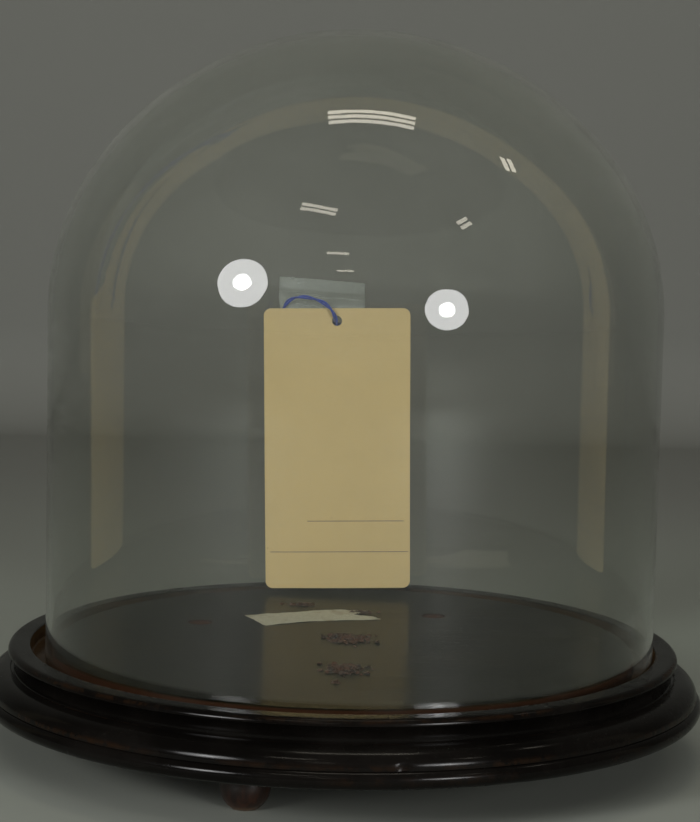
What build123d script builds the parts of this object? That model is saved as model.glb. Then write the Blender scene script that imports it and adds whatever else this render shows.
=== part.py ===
"""Bell jar dome: a blown glass bell standing in the groove of a turned, ebonised wooden base.

Millimetres, +Z up. The origin is on the axis of the base, at the level of the soles of the feet.
A card tag hangs inside the bell, at the back, on a strip of clear tape and with its own string.
"""

import os
from math import atan2, cos, degrees, pi, radians, sin, tan

from build123d import *

os.makedirs("parts", exist_ok=True)

# ---- Sizes -------------------------------------------------------------------------------------

# Bun feet
foot_count = 3
foot_height = 23.5
foot_radius = 11.7
foot_belly_height = 10.5
foot_sole_radius = 6.0
foot_neck_radius = 8.0
foot_neck_height = 2.0
foot_inset = 49.8
first_foot_angle = 250.4
spigot_radius = 4.5
spigot_length = 6.0
spigot_clearance = 0.1

# Base board, a disc with a half-round edge that stands out past the rim moulding
base_board_overhang = 2.3
base_board_thickness = 8.5

# Rim moulding, a turned ring whose ledge is the floor of the groove
rim_height = 20.3
rim_land_width = 7.8
rim_bead_round = 3.0
rim_cove_depth = 3.0
rim_cove_hollow = 0.9
rim_quirk_depth = 0.7
rim_quirk_width = 1.6
rim_ovolo_top = 11.0
rim_ovolo_overhang = 10.0
rim_foot_lip = 0.8
rim_arris_round = 0.7
groove_outer_gap = 4.2
groove_inner_gap = 3.5
groove_depth = 7.0

# Stage board, the round floor under the bell
stage_drop = 0.3
stage_fit = 0.25
stage_arris = 0.8
post_hole_radius = 6.4
post_hole_depth = 12.0
post_hole_circle_radius = 85.0
post_hole_angles = (56.2, 150.3)

# Countersunk wood screws, driven from below
screw_shank_radius = 2.0
screw_head_radius = 4.2
screw_point_length = 3.0
screw_slot_width = 0.9
screw_slot_depth = 1.2
screw_clearance = 0.2
screw_bite_clearance = 0.05
rim_screw_count = 6
rim_screw_set_out = 5.8
rim_screw_length = 18.0
stage_screw_count = 4
stage_screw_circle_radius = 108.0
stage_screw_length = 22.0

# Glass bell, standing a little to one side in its groove
dome_radius = 150.0
dome_wall = 3.0
dome_shift = 3.0
dome_straight = 170.4
dome_shoulder_inset = 25.0
dome_crown_rise = 12.7
dome_edge_round = 0.8

# Card tag
tag_width = 79.4
tag_height = 153.0
tag_thickness = 0.5
tag_corner_radius = 4.0
tag_tilt = 1.3
tag_top_x = -7.0
tag_room_behind = 21.0
tag_foot_gap = 3.1
tag_hole_radius = 2.75
tag_hole_drop = 6.8

# Clear tape: one leaf leans back to the glass, the other is stuck to the back of the tag
tape_thickness = 0.25
tape_left_x = -31.0
tape_right_x = 8.0
tape_lean = 53.0
tape_fold_gap = 0.6
tape_tab_height = 3.2

# Tag string, with a stop knot behind the tag and a knot at its free end
string_diameter = 2.4
stop_knot_radius = 3.0
stop_knot_centre = (-7.2, 130.4, 198.4)
end_knot_radius = 2.3
end_knot_centre = (-34.3, 130.1, 56.4)
string_route = [
    (-7.2, 129.4, 199.0),
    (-7.4, 123.7, 202.8),
    (-9.6, 123.2, 207.6),
    (-14.2, 123.8, 211.6),
    (-20.6, 124.6, 214.0),
    (-27.4, 125.6, 214.8),
    (-33.0, 126.6, 212.6),
    (-36.6, 129.0, 207.0),
    (-37.9, 129.6, 198.4),
    (-37.0, 129.4, 186.0),
    (-38.2, 129.9, 168.0),
    (-36.2, 129.5, 144.0),
    (-37.4, 130.2, 117.0),
    (-35.2, 129.8, 91.0),
    (-35.6, 130.2, 71.0),
    (-34.3, 130.1, 57.0),
]

# ---- Levels and places worked out from the sizes -----------------------------------------------

dome_inner_radius = dome_radius - dome_wall
stage_radius = dome_inner_radius - groove_inner_gap
groove_outer_radius = dome_radius + groove_outer_gap
rim_bead_radius = groove_outer_radius + rim_land_width + rim_bead_round
rim_cove_radius = rim_bead_radius - rim_cove_depth
rim_ovolo_radius = rim_bead_radius + rim_ovolo_overhang
base_board_radius = rim_ovolo_radius + base_board_overhang
rim_screw_circle_radius = groove_outer_radius + rim_screw_set_out
foot_circle_radius = base_board_radius - foot_inset

underside = foot_height
joint_level = underside + base_board_thickness
land_level = joint_level + rim_height
groove_floor = land_level - groove_depth
stage_top = land_level - stage_drop

spring_level = groove_floor + dome_straight
dome_shoulder_radius = dome_radius - dome_shoulder_inset
dome_cap_height = dome_shoulder_radius + dome_crown_rise
dome_crown_radius = (
    dome_shoulder_inset**2 + dome_cap_height**2 - dome_shoulder_radius**2
) / (2 * dome_crown_rise)
crown_centre_level = spring_level + dome_cap_height - dome_crown_radius
shoulder_turn = degrees(atan2(spring_level - crown_centre_level, dome_shoulder_inset))

dome_plane = Plane(origin=(dome_shift, 0, 0), x_dir=(1, 0, 0), z_dir=(0, -1, 0))
dome_axis = Axis((dome_shift, 0, 0), (0, 0, 1))
below_plane = Plane(origin=(0, 0, underside), x_dir=(1, 0, 0), z_dir=(0, 0, -1))

tag_top = land_level + tag_foot_gap + tag_height
tag_front_y = dome_inner_radius - tag_room_behind
tag_tilt_direction = (cos(radians(tag_tilt)), 0, sin(radians(tag_tilt)))
tag_back_y = tag_front_y + tag_thickness
tag_front_plane = Plane(
    origin=(tag_top_x, tag_front_y, tag_top), x_dir=tag_tilt_direction, z_dir=(0, -1, 0)
)
tag_back_plane = Plane(
    origin=(tag_top_x, tag_back_y, tag_top),
    x_dir=(-cos(radians(tag_tilt)), 0, -sin(radians(tag_tilt))),
    z_dir=(0, 1, 0),
)
tape_width = tape_right_x - tape_left_x
tape_middle_x = (tape_left_x + tape_right_x) / 2
tape_plane = Plane(
    origin=(tape_middle_x, tag_back_y + tape_fold_gap, tag_top + tape_fold_gap),
    x_dir=(1, 0, 0),
    z_dir=(0, -cos(radians(tape_lean)), sin(radians(tape_lean))),
)


# ---- Shapes used more than once ----------------------------------------------------------------


def bell_face(inset):
    """Half of the bell's upright section, drawn in from the outer skin by the inset."""
    wall_radius = dome_radius - inset
    with BuildSketch(dome_plane) as section:
        with BuildLine():
            Line((wall_radius, groove_floor), (wall_radius, spring_level))
            CenterArc((dome_shoulder_inset, spring_level), dome_shoulder_radius - inset, 0, shoulder_turn)
            crown = CenterArc(
                (0, crown_centre_level), dome_crown_radius - inset, shoulder_turn, 90 - shoulder_turn
            )
            Line(crown @ 1, (0, groove_floor))
            Line((0, groove_floor), (wall_radius, groove_floor))
        make_face()
    return section.sketch


def wood_screw(length):
    """A slotted countersunk screw, its head flush with z = 0 and its point upwards."""
    head_height = screw_head_radius - screw_shank_radius
    with BuildPart() as screw:
        with BuildSketch(Plane.XZ):
            with BuildLine():
                Polyline(
                    (0, 0),
                    (screw_head_radius, 0),
                    (screw_shank_radius, head_height),
                    (screw_shank_radius, length - screw_point_length),
                    (0, length),
                    close=True,
                )
            make_face()
        revolve(axis=Axis.Z)
        with BuildSketch(Plane.XY):
            Rectangle(2 * screw_head_radius, screw_slot_width)
        extrude(amount=screw_slot_depth, mode=Mode.SUBTRACT)
    return screw.part


def bun_foot(angle):
    """A turned foot with its spigot, on the foot circle at the given angle."""
    neck_level = foot_height - foot_neck_height
    turn = radians(angle)
    spot = (foot_circle_radius * cos(turn), foot_circle_radius * sin(turn), 0)
    upright = Plane(origin=spot, x_dir=(1, 0, 0), z_dir=(0, -1, 0))
    with BuildPart() as foot:
        with BuildSketch(upright):
            with BuildLine():
                sole = Line((0, 0), (foot_sole_radius, 0))
                belly = (foot_radius, foot_belly_height)
                TangentArc(belly, sole @ 1, tangent=(0, -1))
                shoulder = TangentArc(belly, (foot_neck_radius, neck_level), tangent=(0, 1))
                Polyline(
                    shoulder @ 1,
                    (foot_neck_radius, foot_height),
                    (spigot_radius, foot_height),
                    (spigot_radius, foot_height + spigot_length),
                    (0, foot_height + spigot_length),
                    (0, 0),
                )
            make_face()
        revolve(axis=Axis(spot, (0, 0, 1)))
    return foot.part


def bend_radii(route):
    """The largest even bend at each corner of a cord's route."""
    points = [Vector(*point) for point in route]
    radii = []
    for before, corner, after in zip(points, points[1:], points[2:]):
        run_in = corner - before
        run_out = after - corner
        half_turn = radians(run_in.get_angle(run_out)) / 2
        radii.append(0.45 * min(run_in.length, run_out.length) / tan(half_turn))
    return radii


# ---- Base --------------------------------------------------------------------------------------

edge_round = base_board_thickness / 2

with BuildPart() as base_board:
    with BuildSketch(Plane.XZ):
        with BuildLine():
            flat_radius = base_board_radius - edge_round
            Line((0, underside), (flat_radius, underside))
            CenterArc((flat_radius, underside + edge_round), edge_round, -90, 180)
            Line((flat_radius, joint_level), (0, joint_level))
            Line((0, joint_level), (0, underside))
        make_face()
    revolve(axis=Axis.Z)
    screw_circles = (
        (rim_screw_circle_radius, rim_screw_count),
        (stage_screw_circle_radius, stage_screw_count),
    )
    with Locations(below_plane):
        for circle_radius, screw_count in screw_circles:
            with PolarLocations(circle_radius, screw_count):
                CounterSinkHole(
                    radius=screw_shank_radius + screw_clearance,
                    counter_sink_radius=screw_head_radius + screw_clearance,
                    counter_sink_angle=90,
                )
    with BuildSketch(Plane.XY.offset(underside)):
        with PolarLocations(foot_circle_radius, foot_count, start_angle=first_foot_angle):
            Circle(spigot_radius + spigot_clearance)
    extrude(amount=spigot_length + spigot_clearance, mode=Mode.SUBTRACT)

base_board.part.label = "base_board"
export_step(base_board.part, "parts/base_board.step")

with BuildPart() as rim_moulding:
    with BuildSketch(Plane.XZ):
        with BuildLine():
            bore_radius = stage_radius + stage_fit
            bead_land_radius = rim_bead_radius - rim_bead_round
            ovolo_level = land_level - rim_ovolo_top
            ovolo_inner_radius = rim_cove_radius + rim_quirk_width
            cove_foot_level = ovolo_level + rim_quirk_depth
            cove_top_level = land_level - rim_bead_round
            lip_level = joint_level + rim_foot_lip
            Polyline(
                (rim_ovolo_radius, lip_level),
                (rim_ovolo_radius, joint_level),
                (bore_radius, joint_level),
                (bore_radius, groove_floor),
                (groove_outer_radius, groove_floor),
                (groove_outer_radius, land_level),
                (bead_land_radius, land_level),
            )
            CenterArc((bead_land_radius, cove_top_level), rim_bead_round, 0, 90)
            SagittaArc(
                (rim_bead_radius, cove_top_level), (rim_cove_radius, cove_foot_level), rim_cove_hollow
            )
            Polyline(
                (rim_cove_radius, cove_foot_level),
                (rim_cove_radius, ovolo_level - rim_quirk_depth),
                (ovolo_inner_radius, ovolo_level - rim_quirk_depth),
                (ovolo_inner_radius, ovolo_level),
            )
            EllipticalCenterArc(
                (ovolo_inner_radius, lip_level),
                rim_ovolo_radius - ovolo_inner_radius,
                ovolo_level - lip_level,
                arc_size=90,
            )
        make_face()
    revolve(axis=Axis.Z)
    land_edges = rim_moulding.edges().filter_by(GeomType.CIRCLE).group_by(Axis.Z)[-1]
    fillet(land_edges.sort_by(SortBy.RADIUS)[0], rim_arris_round)
    with Locations(Plane.XY.offset(joint_level)):
        with PolarLocations(rim_screw_circle_radius, rim_screw_count):
            Cylinder(
                screw_shank_radius + screw_bite_clearance,
                rim_screw_length - base_board_thickness + screw_bite_clearance,
                align=(Align.CENTER, Align.CENTER, Align.MIN),
                mode=Mode.SUBTRACT,
            )

rim_moulding.part.label = "rim_moulding"
export_step(rim_moulding.part, "parts/rim_moulding.step")

with BuildPart() as stage_board:
    with BuildSketch(Plane.XY.offset(joint_level)):
        Circle(stage_radius)
    extrude(amount=stage_top - joint_level)
    chamfer(stage_board.edges().group_by(Axis.Z)[-1], stage_arris)
    with BuildSketch(Plane.XY.offset(stage_top)):
        for angle in post_hole_angles:
            with PolarLocations(post_hole_circle_radius, 1, start_angle=angle):
                Circle(post_hole_radius)
    extrude(amount=-post_hole_depth, mode=Mode.SUBTRACT)
    with BuildSketch(Plane.XY.offset(joint_level)):
        with PolarLocations(stage_screw_circle_radius, stage_screw_count):
            Circle(screw_shank_radius + screw_bite_clearance)
    extrude(amount=stage_screw_length - base_board_thickness + screw_bite_clearance, mode=Mode.SUBTRACT)

stage_board.part.label = "stage_board"
export_step(stage_board.part, "parts/stage_board.step")

for number in range(foot_count):
    foot = bun_foot(first_foot_angle + number * 360 / foot_count)
    foot.label = f"bun_foot_{number + 1}"
    export_step(foot, f"parts/bun_foot_{number + 1}.step")

rim_screw = wood_screw(rim_screw_length)
with BuildPart() as rim_screws:
    with Locations(Plane.XY.offset(underside)):
        with PolarLocations(rim_screw_circle_radius, rim_screw_count):
            add(rim_screw)

rim_screws.part.label = "rim_screws"
export_step(rim_screws.part, "parts/rim_screws.step")

stage_screw = wood_screw(stage_screw_length)
with BuildPart() as stage_screws:
    with Locations(Plane.XY.offset(underside)):
        with PolarLocations(stage_screw_circle_radius, stage_screw_count):
            add(stage_screw)

stage_screws.part.label = "stage_screws"
export_step(stage_screws.part, "parts/stage_screws.step")

# ---- Glass bell --------------------------------------------------------------------------------

with BuildPart() as glass_dome:
    revolve(bell_face(0), axis=dome_axis)
    revolve(bell_face(dome_wall), axis=dome_axis, mode=Mode.SUBTRACT)
    fillet(glass_dome.edges().group_by(Axis.Z)[0], dome_edge_round)

glass_dome.part.label = "glass_dome"
export_step(glass_dome.part, "parts/glass_dome.step")

with BuildPart() as tape_leaf:
    with BuildSketch(tape_plane):
        Rectangle(tape_width, dome_radius, align=(Align.CENTER, Align.MIN))
    extrude(amount=tape_thickness)
    revolve(bell_face(dome_wall), axis=dome_axis, mode=Mode.INTERSECT)

tape_leaf.part.label = "tape_leaf"
export_step(tape_leaf.part, "parts/tape_leaf.step")

# ---- Tag ---------------------------------------------------------------------------------------

with BuildPart() as hang_tag:
    with BuildSketch(tag_front_plane):
        with Locations((0, -tag_height / 2)):
            RectangleRounded(tag_width, tag_height, tag_corner_radius)
        with Locations((0, -tag_hole_drop)):
            Circle(tag_hole_radius, mode=Mode.SUBTRACT)
    extrude(amount=-tag_thickness)

hang_tag.part.label = "hang_tag"
export_step(hang_tag.part, "parts/hang_tag.step")

with BuildPart() as tape_tab:
    with BuildSketch(tag_back_plane):
        with Locations((tag_top_x - tape_middle_x, 0)):
            Rectangle(tape_width, tape_tab_height, align=(Align.CENTER, Align.MAX))
    extrude(amount=tape_thickness)

tape_tab.part.label = "tape_tab"
export_step(tape_tab.part, "parts/tape_tab.step")

string_bends = bend_radii(string_route)
print("string bend radii", [round(radius, 1) for radius in string_bends])

with BuildPart() as tag_string:
    with BuildLine() as route:
        FilletPolyline(*string_route, radius=string_bends)
    string_line = route.wires()[0]
    with BuildSketch(Plane(origin=string_line @ 0, z_dir=string_line % 0)):
        Circle(string_diameter / 2)
    sweep(path=string_line)

tag_string.part.label = "tag_string"
export_step(tag_string.part, "parts/tag_string.step")
string_tube_volume = pi * string_diameter**2 / 4 * string_line.length
print("string length", round(string_line.length, 1))
print("string volume over section times length", round(tag_string.part.volume / string_tube_volume, 4))

with BuildPart() as string_stop_knot:
    with Locations(stop_knot_centre):
        Sphere(stop_knot_radius)

string_stop_knot.part.label = "string_stop_knot"
export_step(string_stop_knot.part, "parts/string_stop_knot.step")

with BuildPart() as string_end_knot:
    with Locations(end_knot_centre):
        Sphere(end_knot_radius)

string_end_knot.part.label = "string_end_knot"
export_step(string_end_knot.part, "parts/string_end_knot.step")
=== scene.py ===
"""Bell jar dome: the visible pieces, finishes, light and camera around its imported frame."""

import math
import random

import bmesh
import bpy
from bpy.props import FloatProperty, FloatVectorProperty, IntProperty, PointerProperty
from mathutils import Euler, Matrix, Vector, noise


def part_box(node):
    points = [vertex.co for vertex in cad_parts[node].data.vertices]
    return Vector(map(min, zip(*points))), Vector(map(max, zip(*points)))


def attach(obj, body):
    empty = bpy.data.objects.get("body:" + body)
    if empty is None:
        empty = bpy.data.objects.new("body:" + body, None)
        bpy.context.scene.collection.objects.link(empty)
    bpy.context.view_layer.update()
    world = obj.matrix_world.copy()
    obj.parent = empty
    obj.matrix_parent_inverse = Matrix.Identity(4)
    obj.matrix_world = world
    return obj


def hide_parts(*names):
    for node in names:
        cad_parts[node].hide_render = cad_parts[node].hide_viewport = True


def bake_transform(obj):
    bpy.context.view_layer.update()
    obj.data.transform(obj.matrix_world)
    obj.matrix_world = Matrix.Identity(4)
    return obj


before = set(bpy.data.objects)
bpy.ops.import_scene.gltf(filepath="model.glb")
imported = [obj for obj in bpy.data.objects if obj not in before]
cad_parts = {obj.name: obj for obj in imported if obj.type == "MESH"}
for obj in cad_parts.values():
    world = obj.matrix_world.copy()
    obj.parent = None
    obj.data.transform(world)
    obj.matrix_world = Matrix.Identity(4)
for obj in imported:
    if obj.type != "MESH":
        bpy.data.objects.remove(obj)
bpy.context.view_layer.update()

bl_info = {
    "name": "Bell jar dome",
    "version": (1, 0, 0),
    "blender": (4, 5, 0),
    "location": "View3D > Sidebar > Bell jar",
    "description": "Makes the glass bell, its turned base, the tag and the studio around a packed frame",
    "category": "Object",
}

MM = 0.001

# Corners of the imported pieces, in metres
BELL_LOW, BELL_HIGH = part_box("glass_dome")
RIM_LOW, RIM_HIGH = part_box("rim_moulding")
BOARD_LOW, BOARD_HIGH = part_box("base_board")
STAGE_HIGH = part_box("stage_board")[1]
TAG_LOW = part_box("hang_tag")[0]

LAND = RIM_HIGH[2]
STAGE_TOP = STAGE_HIGH[2]
JOINT = RIM_LOW[2]
TAG_TOP = LAND + 156.1 * MM
TAG_MIDDLE = -7.0 * MM
TAG_TILT = math.radians(1.3)

# The string's route, the same points as its tube
STRING_ROUTE = [
    (-0.0072, 0.1294, 0.1990),
    (-0.0074, 0.1237, 0.2028),
    (-0.0096, 0.1232, 0.2076),
    (-0.0142, 0.1238, 0.2116),
    (-0.0206, 0.1246, 0.2140),
    (-0.0274, 0.1256, 0.2148),
    (-0.0330, 0.1266, 0.2126),
    (-0.0366, 0.1290, 0.2070),
    (-0.0379, 0.1296, 0.1984),
    (-0.0370, 0.1294, 0.1860),
    (-0.0382, 0.1299, 0.1680),
    (-0.0362, 0.1295, 0.1440),
    (-0.0374, 0.1302, 0.1170),
    (-0.0352, 0.1298, 0.0910),
    (-0.0356, 0.1302, 0.0710),
    (-0.0343, 0.1301, 0.0570),
]


# ---- Settings ----------------------------------------------------------------------------------


def length(name, description, default):
    """A length in metres that can be set in the sidebar."""
    return FloatProperty(name=name, description=description, default=default, unit="LENGTH", precision=5)


def colour(name, description, default):
    """A linear colour that can be set in the sidebar."""
    return FloatVectorProperty(
        name=name, description=description, default=default, subtype="COLOR", min=0, max=1
    )


class BellSettings(bpy.types.PropertyGroup):
    """The blown glass bell."""

    wall: length("Wall", "Thickness of the glass", 3.0 * MM)
    edge_round: length("Edge round", "Fire-polished edge at the mouth", 0.8 * MM)
    straight: length("Straight", "Height of the straight part above the mouth", 170.4 * MM)
    shoulder_inset: length("Shoulder inset", "Distance of the shoulder's centre from the axis", 25.0 * MM)
    crown_rise: length("Crown rise", "How far the crown stands above the shoulder's curve", 12.7 * MM)
    unevenness: length("Unevenness", "How far the blown wall wanders", 0.04 * MM)
    segments: IntProperty(name="Segments", description="Steps of the turn", default=240, min=32)
    tint: colour("Tint", "What is left of white light after the glass", (0.25, 0.62, 0.36))
    # The dust colour also paints the sheen along the glass's grazing edges, a painted reflection.
    dust: colour("Dust", "Colour of the dust on the glass", (0.62, 0.62, 0.56))


class BaseSettings(bpy.types.PropertyGroup):
    """The turned base."""

    segments: IntProperty(name="Segments", description="Steps of the turn", default=480, min=64)
    black: colour("Ebonised", "The black polish", (0.0032, 0.0027, 0.0023))
    worn: colour("Worn", "Wood that shows where the polish is rubbed through", (0.026, 0.012, 0.005))
    bare: colour("Bare wood", "Raw wood in the groove", (0.055, 0.026, 0.009))
    stage: colour("Stage", "The dark floor under the bell", (0.0065, 0.0072, 0.0044))
    foot: colour("Feet", "Red-brown stain", (0.022, 0.007, 0.003))
    steel: colour("Steel", "Dull screws", (0.30, 0.285, 0.26))


class TagSettings(bpy.types.PropertyGroup):
    """The card tag, its tape and its string."""

    card: colour("Card", "Manila card", (0.81, 0.59, 0.285))
    ink: colour("Ink", "Ruled lines", (0.035, 0.035, 0.10))
    thickness: length("Card thickness", "Thickness of the card", 0.5 * MM)
    width: length("Tag width", "Width of the card", 79.4 * MM)
    height: length("Tag height", "Height of the card", 153.0 * MM)
    hole_radius: length("Hole radius", "Punched hole", 2.75 * MM)
    hole_drop: length("Hole drop", "Hole below the top edge", 6.8 * MM)
    string: colour("String", "Blue cotton", (0.030, 0.075, 0.50))
    string_diameter: length("String diameter", "Both strands together", 2.4 * MM)


class StudioSettings(bpy.types.PropertyGroup):
    """The floor, the backdrop and the room light."""

    floor: colour("Floor", "Pale floor", (0.31, 0.33, 0.29))
    wall: colour("Backdrop", "Grey backdrop", (0.262, 0.267, 0.243))
    sky: colour("Room", "Even light of the room", (0.40, 0.41, 0.39))
    sky_strength: FloatProperty(name="Room light", description="Strength of the even light", default=0.10)


# ---- Shading helpers ---------------------------------------------------------------------------


class Finish:
    """One material and short ways to add its nodes."""

    def __init__(self, name):
        self.material = bpy.data.materials.new(name)
        self.material.use_nodes = True
        self.tree = self.material.node_tree
        self.tree.nodes.clear()
        self.output = self.tree.nodes.new("ShaderNodeOutputMaterial")

    def add(self, kind, inputs=(), **settings):
        """A node of that kind, with its inputs as values or as sockets to link."""
        node = self.tree.nodes.new("ShaderNode" + kind)
        for key, value in settings.items():
            setattr(node, key, value)
        for key, value in dict(inputs).items():
            if isinstance(value, bpy.types.NodeSocket):
                self.tree.links.new(value, node.inputs[key])
            else:
                node.inputs[key].default_value = value
        return node

    def place(self):
        """Object coordinates."""
        return self.add("TexCoord").outputs["Object"]

    def attribute(self, name):
        return self.add("Attribute", attribute_name=name).outputs["Fac"]

    def sum(self, operation, first, second=0.0, third=0.0):
        """A Math node."""
        return self.add("Math", {0: first, 1: second, 2: third}, operation=operation).outputs[0]

    def stretch(self, vector, scale, turn=(0, 0, 0)):
        return self.add("Mapping", {"Vector": vector, "Scale": scale, "Rotation": turn}).outputs[0]

    def noise(self, vector, scale, detail=3.0, roughness=0.55, distortion=0.0):
        """Noise from about 0.3 to 0.7."""
        inputs = {
            "Vector": vector,
            "Scale": scale,
            "Detail": detail,
            "Roughness": roughness,
            "Distortion": distortion,
        }
        return self.add("TexNoise", inputs).outputs["Fac"]

    def span(self, value, low, high, to_low=0.0, to_high=1.0):
        """value from low..high to to_low..to_high, smoothly and clamped."""
        inputs = {"Value": value, 1: low, 2: high, 3: to_low, 4: to_high}
        return self.add("MapRange", inputs, interpolation_type="SMOOTHSTEP").outputs["Result"]

    def blend(self, factor, first, second, kind="MIX"):
        """A colour between two."""
        node = self.add("Mix", {"Factor": factor}, data_type="RGBA", blend_type=kind)
        for key, value in ((6, first), (7, second)):
            if isinstance(value, bpy.types.NodeSocket):
                self.tree.links.new(value, node.inputs[key])
            else:
                node.inputs[key].default_value = (*value[:3], 1)
        return node.outputs[2]

    def bump(self, height, distance, strength=1.0, under=None):
        inputs = {"Height": height, "Distance": distance, "Strength": strength}
        if under is not None:
            inputs["Normal"] = under
        return self.add("Bump", inputs).outputs[0]

    def principled(self, **inputs):
        """The main shader, with words joined by underscores for its inputs."""
        named = {key.replace("_", " "): value for key, value in inputs.items()}
        return self.add("BsdfPrincipled", named).outputs[0]

    def done(self, shader, volume=None):
        self.tree.links.new(shader, self.output.inputs["Surface"])
        if volume is not None:
            self.tree.links.new(volume, self.output.inputs["Volume"])
        return self.material


def rgba(value):
    return (*value[:3], 1)


def around_axis(f):
    """Radius, angle and height of a point, for finishes that follow the lathe."""
    parts = f.add("SeparateXYZ", {0: f.place()}).outputs
    flat = f.add("CombineXYZ", {"X": parts[0], "Y": parts[1]}).outputs[0]
    radius = f.add("VectorMath", {0: flat}, operation="LENGTH").outputs["Value"]
    angle = f.sum("ARCTAN2", parts[1], parts[0])
    return radius, angle, parts[2]


def band(f, value, centre, half_width):
    """1 at centre, falling to 0 at half_width away."""
    away = f.sum("ABSOLUTE", f.sum("SUBTRACT", value, centre))
    return f.span(away, 0.0, half_width, 1.0, 0.0)


def ebonised(f, settings, wear, bare, radius, angle, height):
    """Black polish over wood: worn and bare are masks from 0 to 1."""
    place = f.place()
    lathe = f.add("CombineXYZ", {"X": radius, "Y": f.sum("MULTIPLY", angle, 0.004), "Z": height}).outputs[0]
    turning = f.noise(lathe, 900.0, 2.0, 0.6)
    grain = f.noise(f.stretch(place, (1.0, 9.0, 9.0)), 38.0, 5.0, 0.65, 0.4)
    smudge = f.noise(place, 21.0, 4.0, 0.6)
    dust = f.noise(place, 640.0, 2.0, 0.7)
    greyed = rgba([c * 2.2 for c in settings.black])
    black = f.blend(f.span(smudge, 0.35, 0.7), rgba(settings.black), greyed)
    brown = f.blend(grain, rgba([c * 0.45 for c in settings.worn]), rgba(settings.worn))
    broken = f.span(f.noise(place, 150.0, 4.0, 0.7), 0.40, 0.60)
    rubbed = f.sum("MULTIPLY", wear, broken)
    body = f.blend(rubbed, black, brown)
    dusty = f.sum("MULTIPLY", f.span(dust, 0.60, 0.78), f.span(smudge, 0.45, 0.65, 0.1, 0.75))
    body = f.blend(f.sum("MULTIPLY", dusty, 0.035), body, (0.30, 0.28, 0.24))
    raw = f.blend(grain, rgba([c * 0.35 for c in settings.bare]), rgba([c * 1.25 for c in settings.bare]))
    raw = f.blend(f.span(smudge, 0.45, 0.62, 0.0, 0.85), raw, (0.020, 0.012, 0.007))
    body = f.blend(bare, body, raw)
    rough = f.sum("ADD", f.span(smudge, 0.35, 0.65, 0.16, 0.30), f.sum("MULTIPLY", dusty, 0.22))
    rough = f.sum("ADD", rough, f.sum("MULTIPLY", f.sum("MAXIMUM", rubbed, bare), 0.28))
    lines = f.bump(turning, 0.00006, 0.35)
    ripple = f.bump(f.noise(place, 95.0, 2.0), 0.0002, 0.22, lines)
    pores = f.bump(grain, 0.0002, 0.25, ripple)
    return body, rough, pores


def polished(f, body, rough, normal):
    """The finish of ebonised wood: a dull black under a thin polish."""
    shader = f.principled(
        Base_Color=body,
        Roughness=rough,
        Normal=normal,
        Specular_IOR_Level=0.03,
        Coat_Weight=0.20,
        Coat_Roughness=0.12,
    )
    return f.done(shader)


# ---- Modelling helpers -------------------------------------------------------------------------


def arc(centre, radii, start, end, steps):
    """Points (radius, height) along part of an ellipse, its angles in degrees."""
    points = []
    for step in range(steps + 1):
        turn = math.radians(start + (end - start) * step / steps)
        points.append((centre[0] + radii[0] * math.cos(turn), centre[1] + radii[1] * math.sin(turn)))
    return points


def turned(profile, axis_x, segments, closed):
    """A bmesh of a profile of (radius, height) turned once round an upright axis."""
    bm = bmesh.new()
    verts = [bm.verts.new((axis_x + radius, 0, height)) for radius, height in profile]
    edges = [bm.edges.new(pair) for pair in zip(verts, verts[1:])]
    if closed:
        edges.append(bm.edges.new((verts[-1], verts[0])))
    bmesh.ops.spin(
        bm,
        geom=verts + edges,
        cent=(axis_x, 0, 0),
        axis=(0, 0, 1),
        dvec=(0, 0, 0),
        angle=math.tau,
        steps=segments,
        use_merge=True,
        use_duplicate=False,
    )
    bmesh.ops.remove_doubles(bm, verts=bm.verts, dist=1e-6)
    bmesh.ops.recalc_face_normals(bm, faces=bm.faces)
    return bm


def make_piece(name, bm, material, body=None, replaced=(), sharp=None):
    """A finished mesh object that rides on a body and stands for the CAD nodes it replaces."""
    mesh = bpy.data.meshes.new(name)
    bm.to_mesh(mesh)
    bm.free()
    mesh.shade_smooth()
    if sharp is not None:
        mesh.set_sharp_from_angle(angle=math.radians(sharp))
    mesh.materials.append(material)
    piece = bpy.data.objects.new(name, mesh)
    bpy.context.scene.collection.objects.link(piece)
    if body:
        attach(piece, body)
    if replaced:
        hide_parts(*replaced)
    return piece


def keep_node(name, material):
    """A CAD node keeps its shape and takes a finish."""
    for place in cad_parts[name].material_slots:
        place.material = material


def set_values(mesh, name, values):
    """A number for each vertex, for the finish to read."""
    mesh.attributes.new(name, "FLOAT", "POINT").data.foreach_set("value", values)


def wander(point, scale, seed):
    """Smooth noise from about -1 to 1."""
    return noise.noise(Vector(point) * scale + Vector((seed, seed * 1.7, seed * 0.6)))


# ---- Base --------------------------------------------------------------------------------------


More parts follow.
